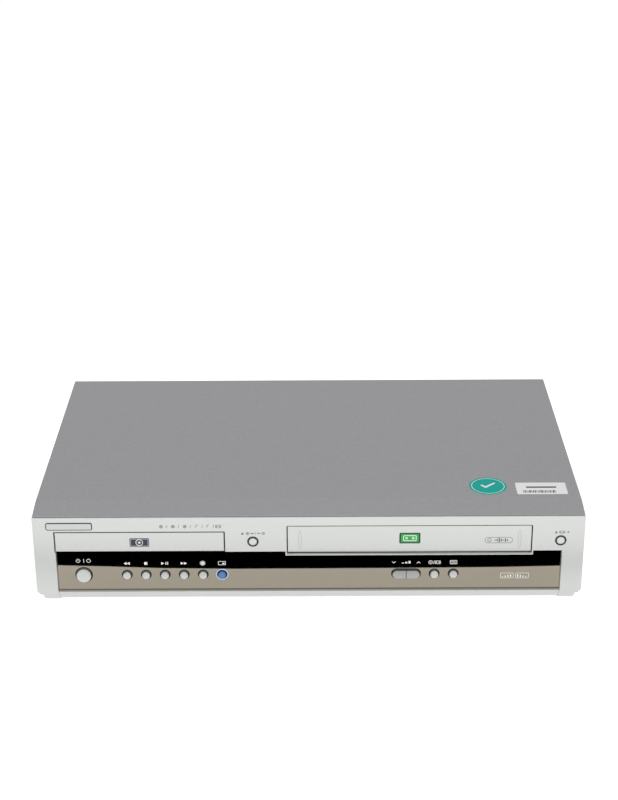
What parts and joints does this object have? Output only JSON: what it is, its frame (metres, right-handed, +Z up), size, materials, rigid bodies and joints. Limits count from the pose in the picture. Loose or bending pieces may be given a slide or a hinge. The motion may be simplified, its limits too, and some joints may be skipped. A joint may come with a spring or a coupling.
{
  "type": "disc and tape player",
  "caption": "Wide flat disc and tape player with a grey sheet cover, silver front, disc tray, hinged tape flap, mirrored window, round keys and sockets behind.",
  "frame": {"origin": "centre of the whole player's footprint, on the surface it stands on", "axes": "+X to the right as seen from the front, +Y from the front to the back, +Z up"},
  "size_m": [0.4326, 0.2664, 0.08],
  "materials": {
    "cover_paint": "satin grey paint on folded steel",
    "bare_steel": "zinc-plated sheet steel",
    "bezel_plastic": "moulded plastic with a fine metallic silver paint",
    "window_plastic": "clear acrylic with a half-mirrored bronze coat behind",
    "key_plastic": "chromed-look silver moulded plastic",
    "blue_key": "blue moulded plastic",
    "black_plastic": "black moulded plastic",
    "grey_plastic": "grey moulded plastic",
    "white_plastic": "ivory moulded acetal",
    "board_green": "printed circuit board",
    "parts_black": "moulded chips and capacitors",
    "display_glass": "fluorescent display glass",
    "plated_steel": "nickel-plated metal",
    "drum_metal": "turned aluminium",
    "rubber": "moulded rubber",
    "brass": "turned brass"
  },
  "bodies": {
    "case": {"top_cover": "cover_paint", "bottom_pan": "bare_steel", "rear_panel": "bare_steel", "rubber_feet": "rubber", "case_screws": "plated_steel", "front_bezel": "bezel_plastic", "window_strip": "window_plastic", "key_board": "board_green", "key_switches": "black_plastic", "display_glass": "display_glass", "loader_frame": "black_plastic", "loader_motor": "plated_steel", "clamp_bridge": "bare_steel", "deck_plate": "bare_steel", "lower_drum": "drum_metal", "tape_heads": "plated_steel", "lift_brackets": "bare_steel", "main_board": "board_green", "main_board_parts": "parts_black", "power_board": "parts_black", "scart_sockets": "black_plastic", "jack_block": "black_plastic", "jack_barrels": "plated_steel", "tuner_module": "plated_steel", "signal_sockets": "black_plastic", "mains_inlet": "black_plastic"},
    "tray": {"disc_tray": "black_plastic", "tray_door": "bezel_plastic"},
    "tray_gear": {"tray_gear": "white_plastic"},
    "driver_gear": {"driver_gear": "white_plastic"},
    "traverse": {"traverse_base": "grey_plastic", "sled_rails": "plated_steel"},
    "turntable": {"turntable": "black_plastic"},
    "clamp": {"disc_clamp": "white_plastic"},
    "pickup": {"pickup_sled": "black_plastic"},
    "lead_screw": {"lead_screw": "brass"},
    "flap": {"cassette_flap": "bezel_plastic"},
    "lift_slider": {"lift_slider": "bare_steel"},
    "cassette_holder": {"cassette_holder": "bare_steel"},
    "supply_reel": {"supply_reel": "white_plastic"},
    "takeup_reel": {"takeup_reel": "white_plastic"},
    "head_drum": {"head_drum": "drum_metal"},
    "capstan": {"capstan": "plated_steel"},
    "pinch_arm": {"pinch_arm": "bare_steel"},
    "pinch_roller": {"pinch_roller": "rubber"},
    "supply_guide": {"supply_guide": "white_plastic"},
    "takeup_guide": {"takeup_guide": "white_plastic"},
    "standby_key": {"standby_key": "key_plastic"},
    "rewind_key": {"rewind_key": "key_plastic"},
    "stop_key": {"stop_key": "key_plastic"},
    "play_key": {"play_key": "key_plastic"},
    "forward_key": {"forward_key": "key_plastic"},
    "record_key": {"record_key": "key_plastic"},
    "view_key": {"view_key": "blue_key"},
    "source_key": {"source_key": "key_plastic"},
    "scan_key": {"scan_key": "key_plastic"},
    "disc_eject_key": {"disc_eject_key": "key_plastic"},
    "tape_eject_key": {"tape_eject_key": "key_plastic"},
    "channel_down_key": {"channel_down_key": "key_plastic"},
    "channel_up_key": {"channel_up_key": "key_plastic"}
  },
  "joints": [
    {"name": "standby_press", "type": "slide", "parent": "case", "child": "standby_key", "axis": [0, 1, 0], "range_m": [0, 0.0006], "stiffness_N_per_m": 900, "springref_m": -0.0006},
    {"name": "rewind_press", "type": "slide", "parent": "case", "child": "rewind_key", "axis": [0, 1, 0], "range_m": [0, 0.0006], "stiffness_N_per_m": 900, "springref_m": -0.0006},
    {"name": "stop_press", "type": "slide", "parent": "case", "child": "stop_key", "axis": [0, 1, 0], "range_m": [0, 0.0006], "stiffness_N_per_m": 900, "springref_m": -0.0006},
    {"name": "play_press", "type": "slide", "parent": "case", "child": "play_key", "axis": [0, 1, 0], "range_m": [0, 0.0006], "stiffness_N_per_m": 900, "springref_m": -0.0006},
    {"name": "forward_press", "type": "slide", "parent": "case", "child": "forward_key", "axis": [0, 1, 0], "range_m": [0, 0.0006], "stiffness_N_per_m": 900, "springref_m": -0.0006},
    {"name": "record_press", "type": "slide", "parent": "case", "child": "record_key", "axis": [0, 1, 0], "range_m": [0, 0.0006], "stiffness_N_per_m": 900, "springref_m": -0.0006},
    {"name": "view_press", "type": "slide", "parent": "case", "child": "view_key", "axis": [0, 1, 0], "range_m": [0, 0.0006], "stiffness_N_per_m": 900, "springref_m": -0.0006},
    {"name": "source_press", "type": "slide", "parent": "case", "child": "source_key", "axis": [0, 1, 0], "range_m": [0, 0.0006], "stiffness_N_per_m": 900, "springref_m": -0.0006},
    {"name": "scan_press", "type": "slide", "parent": "case", "child": "scan_key", "axis": [0, 1, 0], "range_m": [0, 0.0006], "stiffness_N_per_m": 900, "springref_m": -0.0006},
    {"name": "disc_eject_press", "type": "slide", "parent": "case", "child": "disc_eject_key", "axis": [0, 1, 0], "range_m": [0, 0.0006], "stiffness_N_per_m": 900, "springref_m": -0.0006},
    {"name": "tape_eject_press", "type": "slide", "parent": "case", "child": "tape_eject_key", "axis": [0, 1, 0], "range_m": [0, 0.0006], "stiffness_N_per_m": 900, "springref_m": -0.0006},
    {"name": "channel_down_press", "type": "slide", "parent": "case", "child": "channel_down_key", "axis": [0, 1, 0], "range_m": [0, 0.0006], "stiffness_N_per_m": 900, "springref_m": -0.0006},
    {"name": "channel_up_press", "type": "slide", "parent": "case", "child": "channel_up_key", "axis": [0, 1, 0], "range_m": [0, 0.0006], "stiffness_N_per_m": 900, "springref_m": -0.0006},
    {"name": "tray_slide", "type": "slide", "parent": "case", "child": "tray", "axis": [0, -1, 0], "range_m": [0, 0.136]},
    {"name": "tray_gear_spin", "type": "hinge", "parent": "case", "child": "tray_gear", "pos_m": [-0.091, -0.1015, 0.044], "axis": [0, 0, 1], "range_deg": [-785, 5]},
    {"name": "driver_gear_spin", "type": "hinge", "parent": "case", "child": "driver_gear", "pos_m": [-0.11, -0.1015, 0.041], "axis": [0, 0, 1], "range_deg": [-10, 1699]},
    {"name": "traverse_tilt", "type": "hinge", "parent": "case", "child": "traverse", "pos_m": [-0.132, 0.0375, 0.037], "axis": [1, 0, 0], "range_deg": [0, 5]},
    {"name": "turntable_spin", "type": "hinge", "parent": "traverse", "child": "turntable", "pos_m": [-0.132, -0.0575, 0.049], "axis": [0, 0, 1], "continuous": true},
    {"name": "clamp_spin", "type": "hinge", "parent": "case", "child": "clamp", "pos_m": [-0.132, -0.0575, 0.06], "axis": [0, 0, 1], "continuous": true},
    {"name": "pickup_slide", "type": "slide", "parent": "traverse", "child": "pickup", "axis": [0, 1, 0], "range_m": [0, 0.034]},
    {"name": "lead_screw_spin", "type": "hinge", "parent": "traverse", "child": "lead_screw", "pos_m": [-0.109, -0.0375, 0.0405], "axis": [0, 1, 0], "range_deg": [-10, 4091]},
    {"name": "flap_hinge", "type": "hinge", "parent": "case", "child": "flap", "pos_m": [0.0787, -0.1281, 0.0715], "axis": [1, 0, 0], "range_deg": [0, 88], "stiffness_Nm_per_rad": 0.012, "springref_deg": -68.75},
    {"name": "lift_slide", "type": "slide", "parent": "case", "child": "lift_slider", "axis": [0, 1, 0], "range_m": [0, 0.024]},
    {"name": "holder_lower", "type": "slide", "parent": "lift_slider", "child": "cassette_holder", "axis": [0, 0, -1], "range_m": [0, 0.018]},
    {"name": "supply_reel_spin", "type": "hinge", "parent": "case", "child": "supply_reel", "pos_m": [0.0327, -0.0355, 0.0192], "axis": [0, 0, 1], "continuous": true},
    {"name": "takeup_reel_spin", "type": "hinge", "parent": "case", "child": "takeup_reel", "pos_m": [0.1247, -0.0355, 0.0192], "axis": [0, 0, 1], "continuous": true},
    {"name": "head_drum_spin", "type": "hinge", "parent": "case", "child": "head_drum", "pos_m": [0.0787, 0.0655, 0.0192], "axis": [0, 0.1028, 0.9947], "continuous": true},
    {"name": "capstan_spin", "type": "hinge", "parent": "case", "child": "capstan", "pos_m": [0.1327, 0.0355, 0.0192], "axis": [0, 0, 1], "continuous": true},
    {"name": "pinch_swing", "type": "hinge", "parent": "case", "child": "pinch_arm", "pos_m": [0.14654, 0.05898, 0.0192], "axis": [0, 0, -1], "range_deg": [0, 24], "stiffness_Nm_per_rad": 0.02, "springref_deg": -22.92},
    {"name": "pinch_roller_spin", "type": "hinge", "parent": "pinch_arm", "child": "pinch_roller", "pos_m": [0.15153, 0.0355, 0.0292], "axis": [0, 0, 1], "continuous": true},
    {"name": "supply_guide_slide", "type": "slide", "parent": "case", "child": "supply_guide", "axis": [-0.1219, 0.9925, 0], "range_m": [0, 0.042]},
    {"name": "takeup_guide_slide", "type": "slide", "parent": "case", "child": "takeup_guide", "axis": [0.1219, 0.9925, 0], "range_m": [0, 0.042]}
  ],
  "couplings": [
    {"joint": "tray_gear_spin", "follows": "tray_slide", "rad_per_m": -100},
    {"joint": "driver_gear_spin", "follows": "tray_slide", "rad_per_m": 216.67},
    {"joint": "clamp_spin", "follows": "turntable_spin", "ratio": 1},
    {"joint": "lead_screw_spin", "follows": "pickup_slide", "rad_per_m": 2094.4},
    {"joint": "takeup_guide_slide", "follows": "supply_guide_slide", "ratio": 1}
  ]
}
